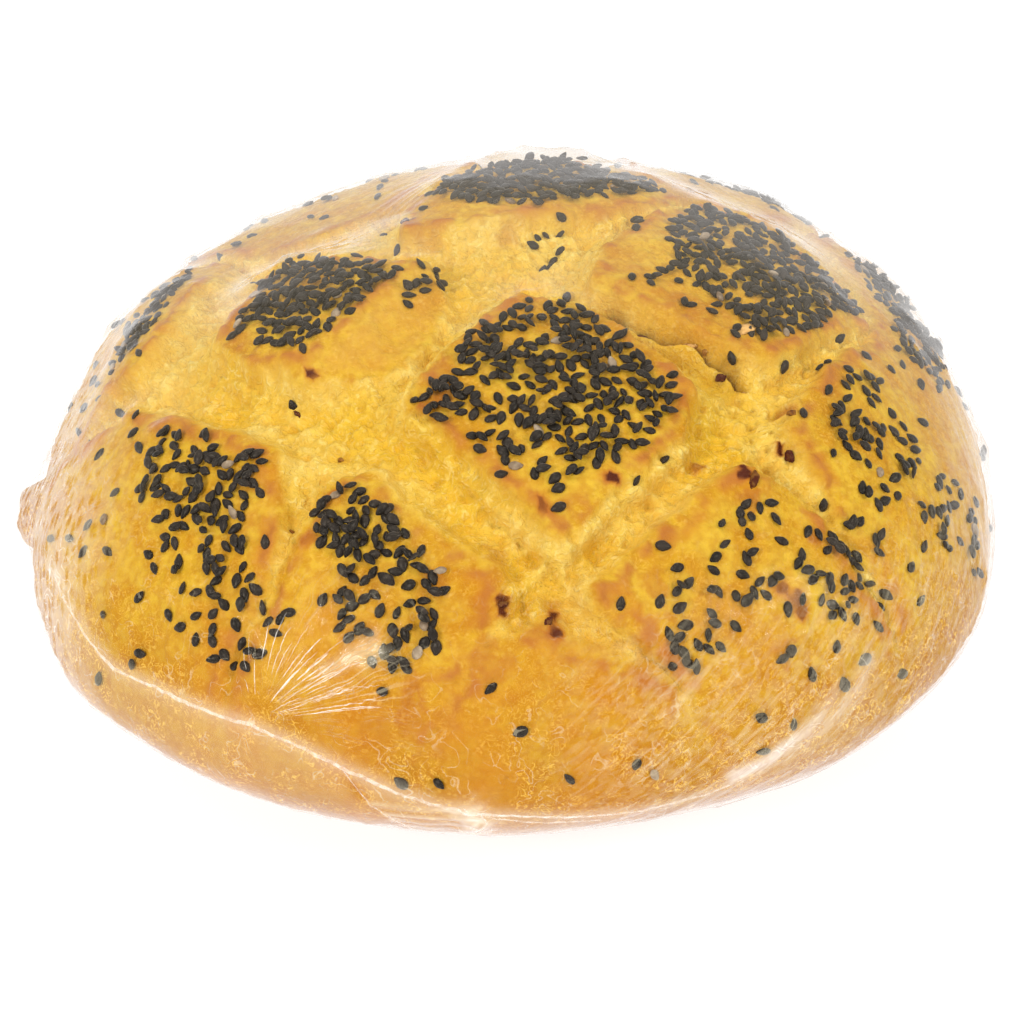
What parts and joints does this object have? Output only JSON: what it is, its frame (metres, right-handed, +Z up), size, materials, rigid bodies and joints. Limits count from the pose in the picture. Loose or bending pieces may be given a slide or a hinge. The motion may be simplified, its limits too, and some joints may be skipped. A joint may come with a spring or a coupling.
{
  "type": "scored sesame boule in clear film",
  "caption": "Round golden loaf with crossed cuts across its crown, black sesame on the raised crust and a tight clear film wrap.",
  "frame": {"origin": "centre of the loaf's box in plan, at the flat foot it rests on", "axes": "+Z up through the crown, +X to the right and -Y to the front as the loaf is shown"},
  "size_m": [0.2156, 0.2094, 0.1006],
  "materials": {
    "crust": "golden baked crust, paler torn crumb in the cuts, satin under film",
    "sesame": "near-black seed coat, satin",
    "film": "clear stretch film, glossy, creased"
  },
  "bodies": {
    "root": {"wrapped_boule": "crust"}
  },
  "joints": []
}
